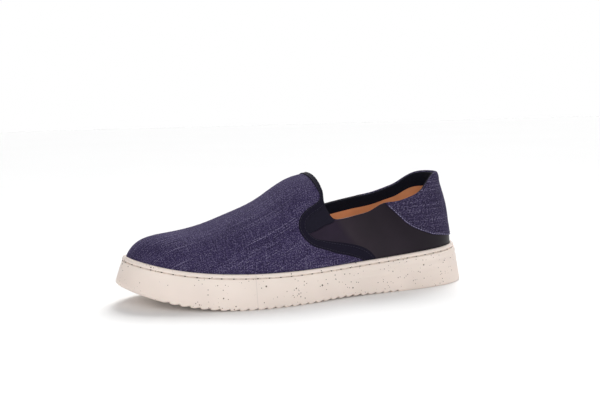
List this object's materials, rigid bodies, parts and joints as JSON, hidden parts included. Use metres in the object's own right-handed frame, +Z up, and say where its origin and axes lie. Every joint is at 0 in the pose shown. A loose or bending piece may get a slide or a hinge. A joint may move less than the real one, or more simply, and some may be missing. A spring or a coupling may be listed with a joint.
{
  "type": "slip-on shoe",
  "caption": "Low slip-on shoe with a cloth vamp, elastic side gores, a leather quarter and a thick rubber cup sole.",
  "frame": {"origin": "under the middle of the shoe, on the floor", "axes": "+X from heel to toe, +Y to the wearer's left, which is the outer side of this left shoe, +Z up"},
  "size_m": [0.2972, 0.108, 0.0973],
  "materials": {
    "sole_rubber": "matt off-white rubber with fine dark specks",
    "insole_leather": "smooth tan leather",
    "vamp_cloth": "indigo slub cloth",
    "quarter_leather": "smooth dark leather, soft sheen",
    "counter_cloth": "indigo slub cloth",
    "binding_tape": "dark navy woven tape"
  },
  "bodies": {
    "root": {"cupsole": "sole_rubber", "insole": "insole_leather", "upper": "vamp_cloth", "quarter": "quarter_leather", "heel_counter": "counter_cloth", "throat_binding": "binding_tape"}
  },
  "joints": []
}
